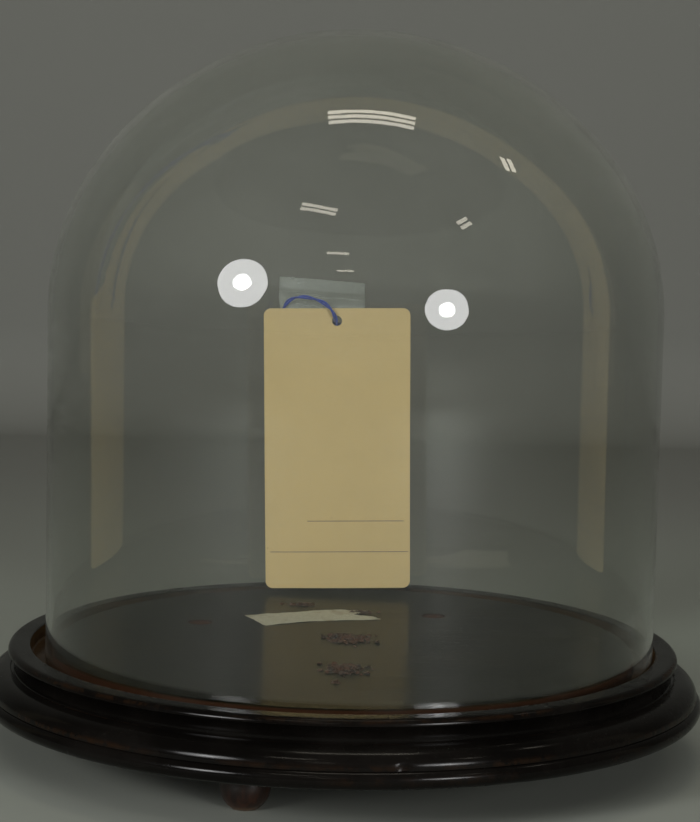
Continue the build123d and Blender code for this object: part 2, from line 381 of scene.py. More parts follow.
def rim_profile():
    """The rim moulding's section, (radius, height) in metres, once round."""
    groove_outer = 154.2 * MM
    bead_round = 3.0 * MM
    bead_centre = (RIM_HIGH[0] - 13.0 * MM, LAND - bead_round)
    cove_radius = RIM_HIGH[0] - 13.0 * MM
    ovolo_level = LAND - 11.0 * MM
    ovolo_inner = cove_radius + 1.6 * MM
    lip = JOINT + 0.8 * MM
    bore = 143.75 * MM
    floor = LAND - 7.0 * MM
    arris = 0.7 * MM
    small = 0.25 * MM
    profile = [(RIM_HIGH[0], JOINT), (bore, JOINT), (bore, floor - small), (bore + small, floor)]
    fillet = 1.2 * MM
    profile.append((groove_outer - 2.5 * MM, floor))
    profile += arc((groove_outer - fillet, floor + fillet), (fillet, fillet), -90, 0, 4)
    profile.append((groove_outer, LAND - 3.2 * MM))
    profile += arc((groove_outer + arris, LAND - arris), (arris, arris), 180, 90, 5)
    profile += [(groove_outer + 2.0 * MM, LAND), (groove_outer + 5.0 * MM, LAND)]
    profile += arc(bead_centre, (bead_round, bead_round), 90, 0, 9)
    cove_top = (RIM_HIGH[0] - 10.0 * MM, LAND - bead_round)
    cove_foot = (cove_radius, ovolo_level + 0.7 * MM)
    for step in range(1, 10):
        share = step / 10
        hollow = 0.9 * MM * 4 * share * (1 - share)
        height = cove_top[1] + (cove_foot[1] - cove_top[1]) * share
        profile.append((cove_top[0] + (cove_foot[0] - cove_top[0]) * share - hollow, height))
    quirk = ovolo_level - 0.7 * MM
    profile += [cove_foot, (cove_radius, quirk + small), (cove_radius + small, quirk)]
    profile += [(ovolo_inner, quirk), (ovolo_inner, ovolo_level - small)]
    profile += arc((ovolo_inner, lip), (RIM_HIGH[0] - ovolo_inner, ovolo_level - lip), 88, 0, 18)
    return profile


class BELLJAR_OT_rim(bpy.types.Operator):
    """Turn the rim moulding with its bead, cove, ovolo and groove"""

    bl_idname = "belljar.rim"
    bl_label = "Rim moulding"

    def execute(self, context):
        settings = context.scene.belljar_base
        bm = turned(rim_profile(), 0.0, settings.segments, True)
        rng = random.Random(11)
        dents = []
        for _ in range(26):
            turn = rng.uniform(0, math.tau)
            radius, height = rng.choice(((165.0, 49.3), (175.0, 33.4), (154.3, 52.1), (171.5, 38.6)))
            spot = Vector((radius * MM * math.cos(turn), radius * MM * math.sin(turn), height * MM))
            dents.append((spot, rng.uniform(1.6, 3.4) * MM, rng.uniform(0.15, 0.5) * MM))
        front_chip = Vector((0.0272, -0.1729, 0.0338))
        dents.append((front_chip, 3.0 * MM, 0.8 * MM))
        bm.normal_update()
        shifts = []
        for vert in bm.verts:
            shift = 0.07 * MM * wander(vert.co, 30.0, 3.0)
            for spot, reach, depth in dents:
                gap = (vert.co - spot).length
                if gap < reach:
                    shift -= depth * (1 - (gap / reach) ** 2) ** 2
            shifts.append(min(shift, 0.0))
        for vert, shift in zip(bm.verts, shifts):
            vert.co += vert.normal * shift
        f = Finish("ebonised_rim")
        radius, angle, height = around_axis(f)
        body, rough, normal = ebonised(
            f, settings, f.attribute("wear"), f.attribute("bare"), radius, angle, height
        )
        material = polished(f, body, rough, normal)
        piece = make_piece("rim_turned", bm, material, "base", ["rim_moulding"], 32)
        edges = (
            (154.4, 52.2, 1.0),
            (164.3, 51.4, 1.1),
            (163.6, 41.2, 0.7),
            (174.9, 33.2, 1.2),
        )
        wear, bare = [], []
        for vert in piece.data.vertices:
            radius = math.hypot(vert.co.x, vert.co.y) / MM
            height = vert.co.z / MM
            patchy = 0.30 + 0.7 * wander(vert.co, 22.0, 8.0)
            most = max(math.exp(-((radius - r) ** 2 + (height - z) ** 2) / w**2) for r, z, w in edges)
            wear.append(min(max(most * patchy * 1.5, 0.0), 1.0))
            inside = radius < 154.35 and height < 51.6
            bare.append(1.0 if inside else 0.0)
        set_values(piece.data, "wear", wear)
        set_values(piece.data, "bare", bare)
        return {"FINISHED"}


class BELLJAR_OT_base(bpy.types.Operator):
    """Finish the base board, the stage, the feet and the screws"""

    bl_idname = "belljar.base"
    bl_label = "Base board, stage, feet and screws"

    def execute(self, context):
        settings = context.scene.belljar_base
        self.board(settings)
        self.stage(settings)
        self.feet(settings)
        self.screws(settings)
        return {"FINISHED"}

    def board(self, settings):
        f = Finish("ebonised_board")
        radius, angle, height = around_axis(f)
        edge = band(f, radius, BOARD_HIGH[0], 0.9 * MM)
        patchy = f.span(f.noise(f.place(), 17.0, 3.0), 0.52, 0.72, 0.0, 0.5)
        under = f.span(height, BOARD_LOW[2], BOARD_LOW[2] + 1.2 * MM, 1.0, 0.0)
        raw = f.sum("MULTIPLY", under, f.span(radius, 0.160, 0.173, 0.75, 0.0))
        body, rough, normal = ebonised(
            f, settings, f.sum("MULTIPLY", edge, patchy), raw, radius, angle, height
        )
        material = polished(f, body, rough, normal)
        keep_node("base_board", material)

    def stage(self, settings):
        f = Finish("stage_waxed")
        place = f.place()
        radius, angle, height = around_axis(f)
        cloud = f.noise(place, 14.0, 4.0, 0.6, 0.5)
        streak = f.noise(f.stretch(place, (1.6, 22.0, 1.0), (0, 0, 1.45)), 4.0, 4.0, 0.6, 0.6)
        wipe = f.noise(f.stretch(place, (3.0, 46.0, 1.0), (0, 0, 0.35)), 4.0, 3.0, 0.6, 0.3)
        scratch_a = f.noise(f.stretch(place, (2.0, 260.0, 1.0), (0, 0, 0.5)), 3.0, 2.0, 0.5, 0.1)
        scratch_b = f.noise(f.stretch(place, (2.4, 310.0, 1.0), (0, 0, -0.9)), 3.0, 2.0, 0.5, 0.1)
        scratch = f.sum("MAXIMUM", f.span(scratch_a, 0.66, 0.72), f.span(scratch_b, 0.67, 0.73))
        speck = f.span(f.noise(place, 900.0, 1.0, 0.5), 0.70, 0.78)
        dark = rgba([c * 0.55 for c in settings.stage])
        body = f.blend(f.span(cloud, 0.35, 0.65), dark, rgba([c * 1.35 for c in settings.stage]))
        body = f.blend(f.span(streak, 0.45, 0.62, 0.0, 0.55), body, (0.016, 0.0145, 0.007))
        body = f.blend(f.sum("MULTIPLY", scratch, 0.25), body, (0.07, 0.063, 0.045))
        body = f.blend(f.sum("MULTIPLY", speck, 0.3), body, (0.20, 0.19, 0.15))
        rim = f.span(radius, STAGE_HIGH[0] - 3.0 * MM, STAGE_HIGH[0] - 0.2 * MM)
        rubbed = f.sum("MULTIPLY", rim, f.span(cloud, 0.42, 0.55))
        body = f.blend(f.sum("MULTIPLY", rubbed, 0.6), body, rgba(settings.worn))
        stains = 0.0
        for angle_deg in (56.2, 150.3):
            turn = math.radians(angle_deg)
            spot = (0.085 * math.cos(turn), 0.085 * math.sin(turn))
            parts = f.add("SeparateXYZ", {0: place}).outputs
            away = {axis: f.sum("SUBTRACT", parts[axis], spot[axis]) for axis in (0, 1)}
            flat = f.add("CombineXYZ", away).outputs[0]
            gap = f.add("VectorMath", {0: flat}, operation="LENGTH").outputs["Value"]
            ring = f.span(f.sum("ADD", gap, f.sum("MULTIPLY", cloud, 0.004)), 0.0075, 0.0125, 0.9, 0.0)
            stains = f.sum("MAXIMUM", stains, ring)
        body = f.blend(stains, body, (0.020, 0.008, 0.005))
        sunk = f.span(height, STAGE_TOP - 1.2 * MM, STAGE_TOP - 0.2 * MM, 1.0, 0.0)
        body = f.blend(sunk, body, (0.045, 0.017, 0.008))
        rough = f.span(wipe, 0.35, 0.65, 0.10, 0.19)
        rough = f.sum("ADD", rough, f.sum("MULTIPLY", f.span(cloud, 0.45, 0.65), 0.06))
        rough = f.sum("ADD", rough, f.sum("MULTIPLY", f.sum("MAXIMUM", speck, sunk), 0.3))
        slow = f.bump(f.noise(place, 30.0, 3.0), 0.0006, 0.10)
        fine = f.bump(f.noise(place, 420.0, 3.0, 0.6), 0.00012, 0.15, slow)
        cut = f.bump(scratch, 0.0001, 0.4, fine)
        shader = f.principled(Base_Color=body, Roughness=rough, Normal=cut, Specular_IOR_Level=0.018)
        keep_node("stage_board", f.done(shader))

    def feet(self, settings):
        # Red-brown stain and worn soles, with painted shade on the upper part of each foot.
        f = Finish("foot_stain_and_painted_shade")
        place = f.place()
        parts = f.add("SeparateXYZ", {0: place}).outputs
        grain = f.noise(f.stretch(place, (1.0, 1.0, 0.14)), 210.0, 4.0, 0.65, 0.3)
        cloud = f.noise(place, 70.0, 3.0)
        light = rgba([c * 1.9 for c in settings.foot])
        body = f.blend(f.span(grain, 0.35, 0.65), rgba([c * 0.5 for c in settings.foot]), light)
        # Painted shade: the upper part of each foot is darkened almost to black, where the base overhangs it.
        painted_shade_under_base = f.span(f.sum("ADD", parts[2], f.sum("MULTIPLY", cloud, 0.006)), 0.0125, 0.0205)
        body = f.blend(f.sum("MULTIPLY", painted_shade_under_base, 0.92), body, (0.012, 0.006, 0.004))
        sole = f.span(parts[2], 0.0008, 0.0030, 1.0, 0.0)
        body = f.blend(f.sum("MULTIPLY", sole, 0.6), body, (0.16, 0.085, 0.042))
        rough = f.span(cloud, 0.35, 0.65, 0.26, 0.46)
        normal = f.bump(grain, 0.0002, 0.4, f.bump(cloud, 0.0006, 0.2))
        material = f.done(
            f.principled(Base_Color=body, Roughness=rough, Normal=normal, Coat_Weight=0.3, Coat_Roughness=0.2)
        )
        for number in (1, 2, 3):
            keep_node(f"bun_foot_{number}", material)

    def screws(self, settings):
        f = Finish("screw_dull_steel")
        place = f.place()
        fine = f.noise(place, 900.0, 3.0, 0.6)
        rust = f.span(f.noise(place, 330.0, 4.0, 0.7), 0.50, 0.64)
        body = f.blend(fine, rgba([c * 0.6 for c in settings.steel]), rgba(settings.steel))
        body = f.blend(rust, body, (0.10, 0.036, 0.014))
        metal = f.sum("SUBTRACT", 1.0, f.sum("MULTIPLY", rust, 0.85))
        rough = f.span(fine, 0.35, 0.65, 0.38, 0.6)
        normal = f.bump(fine, 0.0001, 0.5)
        material = f.done(f.principled(Base_Color=body, Metallic=metal, Roughness=rough, Normal=normal))
        keep_node("rim_screws", material)
        keep_node("stage_screws", material)


# ---- Glass -------------------------------------------------------------------------------------


def bell_profile(bell):
    """The bell's closed section from the outer pole round the mouth to the inner pole."""
    axis_x = (BELL_LOW[0] + BELL_HIGH[0]) / 2
    outer = (BELL_HIGH[0] - BELL_LOW[0]) / 2
    mouth = BELL_LOW[2]
    spring = mouth + bell.straight
    shoulder = outer - bell.shoulder_inset
    cap = shoulder + bell.crown_rise
    crown = (bell.shoulder_inset**2 + cap**2 - shoulder**2) / (2 * bell.crown_rise)
    crown_level = spring + cap - crown
    turn = math.degrees(math.atan2(spring - crown_level, bell.shoulder_inset))

    def skin(inset, crown_steps, shoulder_steps, straight_steps):
        """One skin from its pole down to where the mouth's round begins."""
        centre = (0.0, crown_level)
        points = arc(centre, (crown - inset,) * 2, 90, turn, crown_steps)
        points[0] = (0.0, points[0][1])
        points += arc((bell.shoulder_inset, spring), (shoulder - inset,) * 2, turn, 0, shoulder_steps)[1:]
        low = mouth + bell.edge_round
        for step in range(1, straight_steps + 1):
            points.append((outer - inset, spring + (low - spring) * step / straight_steps))
        return points

    edge = bell.edge_round
    profile = skin(0.0, 34, 34, 56)
    profile += arc((outer - edge, mouth + edge), (edge, edge), 0, -90, 5)[1:]
    profile += arc((outer - bell.wall + edge, mouth + edge), (edge, edge), -90, -180, 5)
    profile += skin(bell.wall, 34, 34, 56)[-2::-1]
    return profile, axis_x


class BELLJAR_OT_bell(bpy.types.Operator):
    """Blow the glass bell: a closed shell with a slightly uneven wall"""

    bl_idname = "belljar.bell"
    bl_label = "Glass bell"

    def execute(self, context):
        bell = context.scene.belljar_bell
        profile, axis_x = bell_profile(bell)
        bm = turned(profile, axis_x, bell.segments, False)
        axis = Vector((axis_x, 0, 0))
        middle = (BELL_HIGH[0] - BELL_LOW[0]) / 2 - bell.wall / 2
        for vert in bm.verts:
            flat = Vector((vert.co.x, vert.co.y, 0)) - axis
            dome = Vector((flat.x, flat.y, max(vert.co.z - (BELL_LOW[2] + bell.straight), 0.0)))
            inner = flat.length < middle and dome.length < middle + 3.0 * MM
            settle = min(max((vert.co.z - BELL_LOW[2]) / 0.012, 0.0), 1.0)
            amount = 0.6 * wander(vert.co, 9.0, 4.0) - 0.7
            if inner:
                amount = wander(vert.co, 10.0, 21.0) + 0.25 * wander(vert.co, 26.0, 23.0)
            if dome.length > 1e-6:
                vert.co += dome.normalized() * amount * settle * bell.unevenness
        f = Finish("blown_glass")
        place = f.place()
        height = f.add("SeparateXYZ", {0: place}).outputs[2]
        glass = f.principled(
            Base_Color=(0.84, 0.84, 0.825, 1), Roughness=0.0, IOR=1.5, Transmission_Weight=1.0
        )
        haze = f.noise(place, 8.0, 4.0, 0.6, 0.6)
        wiped = f.noise(f.stretch(place, (5.0, 5.0, 34.0), (0.5, 0.2, 0)), 6.0, 4.0, 0.65, 0.5)
        speck = f.span(f.noise(place, 1100.0, 1.0, 0.5), 0.72, 0.80)
        low = f.span(height, BELL_LOW[2], BELL_LOW[2] + 0.12, 1.0, 0.6)
        film = f.sum("MULTIPLY", f.span(haze, 0.42, 0.68), f.span(wiped, 0.40, 0.66))
        # Painted sheen: where the glass is seen edge-on, the dust below is multiplied up to 22 times. This
        # makes a milky band that stands in for the glass's reflection of the room at grazing angles.
        facing = f.add("LayerWeight", {"Blend": 0.5}).outputs["Facing"]
        painted_sheen_at_grazing = f.span(facing, 0.45, 0.98, 1.0, 22.0)
        crown = f.span(height, BELL_LOW[2] + 0.10, BELL_HIGH[2] - 0.03, 0.0, 0.052)
        # This mask holds real dust (a wiped film thicker low down, a haze towards the crown, specks) together
        # with the painted grazing sheen.
        dust = f.sum("MULTIPLY", f.sum("MULTIPLY_ADD", film, 0.010, 0.0018), f.sum("MULTIPLY", low, painted_sheen_at_grazing))
        dust = f.sum("ADD", dust, f.sum("MULTIPLY", crown, f.span(haze, 0.2, 0.8, 0.6, 1.3)))
        dust = f.sum("MULTIPLY_ADD", speck, 0.10, dust)
        # This dust colour paints both the dust and the painted grazing sheen.
        dull = f.principled(Base_Color=rgba(bell.dust), Roughness=0.9)
        seen = f.add("MixShader", {0: dust, 1: glass, 2: dull}).outputs[0]
        path = f.add("LightPath").outputs
        open_way = f.add("BsdfTransparent", {0: (0.93, 0.95, 0.93, 1)}).outputs[0]
        bounced = f.add("MixShader", {0: path["Is Diffuse Ray"], 1: seen, 2: open_way}).outputs[0]
        lit = f.add("MixShader", {0: path["Is Shadow Ray"], 1: bounced, 2: open_way}).outputs[0]
        body = f.add("VolumeAbsorption", {"Color": rgba(bell.tint), "Density": 9.0}).outputs[0]
        make_piece("glass_bell", bm, f.done(lit, body), "dome", ["glass_dome"])
        return {"FINISHED"}


# ---- Tag, tape and string ----------------------------------------------------------------------


def tag_place():
    """The card's own axes: across, down its face and out of its front, from its top middle."""
    top = Vector((TAG_MIDDLE, TAG_LOW[1], TAG_TOP))
    return Matrix.Translation(top) @ Matrix.Rotation(-TAG_TILT, 4, "Y")


def card_curl(across, down):
    """How far the card bends back from flat, in metres."""
    side = across / 0.0397
    corner = 0.5 * MM * max(side - 0.55, 0) ** 2 * max((down - 0.11) / 0.043, 0)
    return 0.30 * MM * side**2 + corner + 0.12 * MM * math.sin(down * 34.0 + across * 18.0)


class BELLJAR_OT_tag(bpy.types.Operator):
    """Cut and punch the card tag"""

    bl_idname = "belljar.tag"
    bl_label = "Card tag"

    def execute(self, context):
        tag = context.scene.belljar_tag
        half, tall = tag.width / 2, tag.height
        bm = bmesh.new()
        grid = Matrix.Translation((0, 0, -tall / 2)) @ Matrix.Rotation(math.pi / 2, 4, "X")
        grid = grid @ Matrix.Diagonal((half, tall / 2, 1, 1))
        bmesh.ops.create_grid(bm, x_segments=50, y_segments=96, size=1.0, matrix=grid)
        corner = 4.0 * MM
        for side in (-1, 1):
            for level in (0.0, -tall):
                centre = Vector((side * (half - corner), 0, level + (corner if level else -corner)))
                for step in range(1, 8):
                    turn = math.radians(90 * step / 8)
                    out = Vector((side * math.cos(turn), 0, math.sin(turn) * (-1 if level else 1)))
                    bmesh.ops.bisect_plane(
                        bm,
                        geom=bm.verts[:] + bm.edges[:] + bm.faces[:],
                        plane_co=centre + out * corner,
                        plane_no=out,
                        clear_outer=True,
                    )
        hole = Vector((0, 0, -tag.hole_drop))
        hole_reach = tag.hole_radius * 2.1
        near = [f for f in bm.faces if (f.calc_center_median() - hole).length < tag.hole_radius * 1.35]
        bmesh.ops.delete(bm, geom=near, context="FACES")
        rim = [e for e in bm.edges if e.is_boundary and (e.verts[0].co - hole).length < hole_reach]
        ring = bmesh.ops.create_circle(
            bm,
            cap_ends=False,
            segments=32,
            radius=tag.hole_radius,
            matrix=Matrix.Translation(hole) @ Matrix.Rotation(math.pi / 2, 4, "X"),
        )
        loop = list({e for v in ring["verts"] for e in v.link_edges})
        bmesh.ops.bridge_loops(bm, edges=rim + loop)
        bmesh.ops.remove_doubles(bm, verts=bm.verts, dist=1e-7)
        bmesh.ops.recalc_face_normals(bm, faces=bm.faces)
        if sum(face.normal.y for face in bm.faces) < 0:
            bmesh.ops.reverse_faces(bm, faces=bm.faces)
        layer = bm.loops.layers.uv.new("card")
        for face in bm.faces:
            for corner_loop in face.loops:
                co = corner_loop.vert.co
                corner_loop[layer].uv = (co.x / 0.1 + 0.5, co.z / 0.1 + 2.0)
        for vert in bm.verts:
            vert.co.y += card_curl(vert.co.x, -vert.co.z)
        bmesh.ops.solidify(bm, geom=bm.faces[:], thickness=tag.thickness)
        bmesh.ops.recalc_face_normals(bm, faces=bm.faces)
        bmesh.ops.transform(bm, matrix=tag_place(), verts=bm.verts)
        make_piece("card_tag", bm, self.card(tag), "tag", ["hang_tag"], 40)
        return {"FINISHED"}

    def card(self, tag):
        """Manila card with two ruled lines."""
        f = Finish("manila_card")
        place = f.place()
        uv = f.add("UVMap", uv_map="card").outputs[0]
        across, up = f.add("SeparateXYZ", {0: uv}).outputs[:2]
        fibre = f.noise(f.stretch(place, (1.0, 1.0, 2.6)), 520.0, 4.0, 0.7)
        fleck = f.span(f.noise(place, 1500.0, 2.0, 0.6), 0.66, 0.76)
        tone = f.noise(place, 16.0, 3.0, 0.6)
        body = f.blend(f.span(tone, 0.35, 0.65), rgba([c * 0.93 for c in tag.card]), rgba(tag.card))
        body = f.blend(f.span(fibre, 0.35, 0.7, 0.0, 0.22), body, (0.82, 0.66, 0.40))
        body = f.blend(f.sum("MULTIPLY", fleck, 0.25), body, (0.34, 0.24, 0.10))
        lines = 0.0
        for drop, left, right in ((116.0, -16.6, 36.3), (133.0, -37.0, 38.5)):
            row = band(f, up, 2.0 - drop * 0.01, 0.0032)
            start = f.span(across, 0.5 + left * 0.01 - 0.002, 0.5 + left * 0.01 + 0.002)
            stop = f.span(across, 0.5 + right * 0.01 - 0.002, 0.5 + right * 0.01 + 0.002, 1.0, 0.0)
            rule = f.sum("MULTIPLY", row, f.sum("MULTIPLY", start, stop))
            lines = f.sum("MAXIMUM", lines, rule)
        lines = f.sum("MULTIPLY", lines, f.span(fibre, 0.2, 0.5, 0.55, 0.95))
        body = f.blend(lines, body, rgba(tag.ink))
        normal = f.bump(fibre, 0.0001, 0.4, f.bump(tone, 0.0008, 0.2))
        rough = f.span(tone, 0.35, 0.65, 0.58, 0.72)
        return f.done(f.principled(Base_Color=body, Roughness=rough, Normal=normal, Sheen_Weight=0.15))


class BELLJAR_OT_tape(bpy.types.Operator):
    """Lay the clear tape from the glass to the back of the card"""

    bl_idname = "belljar.tape"
    bl_label = "Clear tape"

    def execute(self, context):
        bm = bmesh.new()
        bmesh.ops.create_grid(bm, x_segments=36, y_segments=34, size=0.5)
        axis_x = (BELL_LOW[0] + BELL_HIGH[0]) / 2
        inner = (BELL_HIGH[0] - BELL_LOW[0]) / 2 - 3.0 * MM
        left, right = -39.0 * MM, 8.0 * MM
        card_back = TAG_LOW[1] + 0.5 * MM
        for vert in bm.verts:
            across, along = vert.co.x + 0.5, 1.0 - (vert.co.y + 0.5)
            x = left + (right - left) * across
            wall_y = math.sqrt((inner - 0.75 * MM) ** 2 - (x - axis_x) ** 2)
            top_z = LAND + (172.0 - 3.4 * across) * MM
            tilt_z = TAG_TOP + (x - TAG_MIDDLE) * math.tan(TAG_TILT)
            stuck = 0.22
            if along < stuck:
                y = wall_y
                z = top_z - 6.0 * MM * along / stuck
            elif along < 0.82:
                share = (along - stuck) / (0.82 - stuck)
                sag = math.sin(math.pi * share)
                y = wall_y + (card_back + 0.45 * MM - wall_y) * share - 0.5 * MM * sag
                z = top_z - 6.0 * MM + (tilt_z + 0.8 * MM - top_z + 6.0 * MM) * share
                z += (0.7 * sag + 0.5 * math.sin(across * 9.0) * sag) * MM
            else:
                share = (along - 0.82) / 0.18
                y = card_back + (0.45 - 0.15 * share) * MM + 0.3 * MM * (x / 0.0397) ** 2
                z = tilt_z + 0.8 * MM - 5.2 * MM * share
            peel = max(0.2 - across, 0.0) / 0.2 * max(along - 0.5, 0.0) / 0.5
            vert.co = (x + 1.5 * MM * peel, y + 2.4 * MM * peel, z)
        bmesh.ops.recalc_face_normals(bm, faces=bm.faces)
        bmesh.ops.solidify(bm, geom=bm.faces[:], thickness=0.08 * MM)
        bmesh.ops.recalc_face_normals(bm, faces=bm.faces)
        f = Finish("clear_film")
        place = f.place()
        cloud = f.noise(place, 90.0, 4.0, 0.6, 0.4)
        crease = f.noise(f.stretch(place, (2.0, 8.0, 22.0), (0, 0.35, 0)), 16.0, 3.0, 0.6, 0.8)
        normal = f.bump(crease, 0.0012, 0.45, f.bump(cloud, 0.0004, 0.3))
        dull = f.principled(Base_Color=(0.60, 0.62, 0.60, 1), Roughness=0.16, Normal=normal)
        see = f.add("BsdfTransparent", {0: (0.95, 0.96, 0.95, 1)}).outputs[0]
        share = f.sum("ADD", f.span(cloud, 0.35, 0.65, 0.22, 0.32), f.span(crease, 0.58, 0.70, 0.0, 0.16))
        material = f.done(f.add("MixShader", {0: share, 1: see, 2: dull}).outputs[0])
        film = make_piece("tape_film", bm, material, None, ["tape_leaf", "tape_tab"])
        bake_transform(film)
        return {"FINISHED"}


def route_points():
    """The string's centre line, as points of its smooth spline."""
    curve = bpy.data.curves.new("string_line", "CURVE")
    curve.dimensions = "3D"
    curve.resolution_u = 14
    spline = curve.splines.new("NURBS")
    spline.points.add(len(STRING_ROUTE) - 1)
    for point, spot in zip(spline.points, STRING_ROUTE):
        point.co = (*spot, 1)
    spline.order_u = 3
    spline.use_endpoint_u = True
    guide = bpy.data.objects.new("string_line", curve)
    mesh = bpy.data.meshes.new_from_object(guide)
    points = [v.co.copy() for v in mesh.vertices]
    bpy.data.objects.remove(guide)
    bpy.data.curves.remove(curve)
    bpy.data.meshes.remove(mesh)
    return points


def ring_edges(bm, ring):
    """The edges round a ring of vertices, made where they are missing."""
    pairs = [(ring[step - 1], ring[step]) for step in range(len(ring))]
    return [bm.edges.get(pair) or bm.edges.new(pair) for pair in pairs]


def strand(bm, path, radius, offset, twists, start_turn):
    """One round strand that winds about the path."""
    sides = 10
    gone, total = [0.0], 0.0
    for a, b in zip(path, path[1:]):
        total += (b - a).length
        gone.append(total)
    side = Vector((0, 1, 0))
    rings = []
    for index, point in enumerate(path):
        ahead = path[min(index + 1, len(path) - 1)] - path[max(index - 1, 0)]
        ahead.normalize()
        side = (side - ahead * side.dot(ahead)).normalized()
        other = ahead.cross(side)
        turn = start_turn + math.tau * twists * gone[index] / total
        centre = point + (side * math.cos(turn) + other * math.sin(turn)) * offset
        ring = []
        for step in range(sides):
            a = math.tau * step / sides
            ring.append(bm.verts.new(centre + (side * math.cos(a) + other * math.sin(a)) * radius))
        rings.append(ring)
    for low, high in zip(rings, rings[1:]):
        edges = ring_edges(bm, low) + ring_edges(bm, high)
        bmesh.ops.bridge_loops(bm, edges=edges)
    for ring in (rings[0], rings[-1]):
        bmesh.ops.contextual_create(bm, geom=ring)


class BELLJAR_OT_string(bpy.types.Operator):
    """Twist the blue string from two strands and tie its knots"""

    bl_idname = "belljar.string"
    bl_label = "Tag string and knots"

    def execute(self, context):
        tag = context.scene.belljar_tag
        points = route_points()
        bm = bmesh.new()
        strand_radius = tag.string_diameter / 4
        for turn in (0.0, math.pi):
            strand(bm, points, strand_radius, strand_radius * 0.98, 9.0, turn)
        bmesh.ops.recalc_face_normals(bm, faces=bm.faces)
        material = self.cotton(tag)
        string = make_piece("tag_string_twisted", bm, material, "tag", ["tag_string"])
        stop = self.knot("string_knot_behind", "string_stop_knot", material, 5)
        end = self.knot("string_knot_end", "string_end_knot", material, 9)
        return {"FINISHED"}

    def knot(self, name, node, material, seed):
        """An overhand knot: a cord wound on itself inside the knot's ball."""
        low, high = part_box(node)
        centre = (Vector(low) + Vector(high)) / 2
        reach = (high[0] - low[0]) / 2 * 0.98
        bm = bmesh.new()
        tube = reach * 0.36
        path = []
        for step in range(61):
            t = math.tau * step / 60
            x = (math.sin(t) + 2 * math.sin(2 * t)) / 3
            y = (math.cos(t) - 2 * math.cos(2 * t)) / 3
            path.append(Vector((x, y, -math.sin(3 * t) * 0.62)) * (reach - tube))
        strand(bm, path[:-1], tube, 0.0, 0.0, 0.0)
        bmesh.ops.create_icosphere(bm, subdivisions=2, radius=reach * 0.55)
        turn = Euler((0.4 * seed, 0.3 * seed, 0.9 * seed)).to_matrix().to_4x4()
        bmesh.ops.transform(bm, matrix=Matrix.Translation(centre) @ turn, verts=bm.verts)
        bmesh.ops.recalc_face_normals(bm, faces=bm.faces)
        return make_piece(name, bm, material, "tag", [node])

    def cotton(self, tag):
        f = Finish("blue_cotton")
        place = f.place()
        fibre = f.noise(f.stretch(place, (1.0, 1.0, 0.35), (0.5, 0.3, 0)), 2600.0, 3.0, 0.7)
        ply = f.noise(f.stretch(place, (1.0, 1.0, 2.0), (0, 0.7, 0)), 900.0, 2.0, 0.6)
        body = f.blend(f.span(fibre, 0.35, 0.65), rgba([c * 0.45 for c in tag.string]), rgba(tag.string))
        body = f.blend(f.span(ply, 0.52, 0.70, 0.0, 0.5), body, rgba([c * 1.7 for c in tag.string]))
        normal = f.bump(fibre, 0.0002, 0.7, f.bump(ply, 0.0004, 0.6))
        return f.done(
            f.principled(Base_Color=body, Roughness=0.85, Normal=normal, Sheen_Weight=0.5, Sheen_Roughness=0.5)
        )


# ---- What is left on the stage -----------------------------------------------------------------


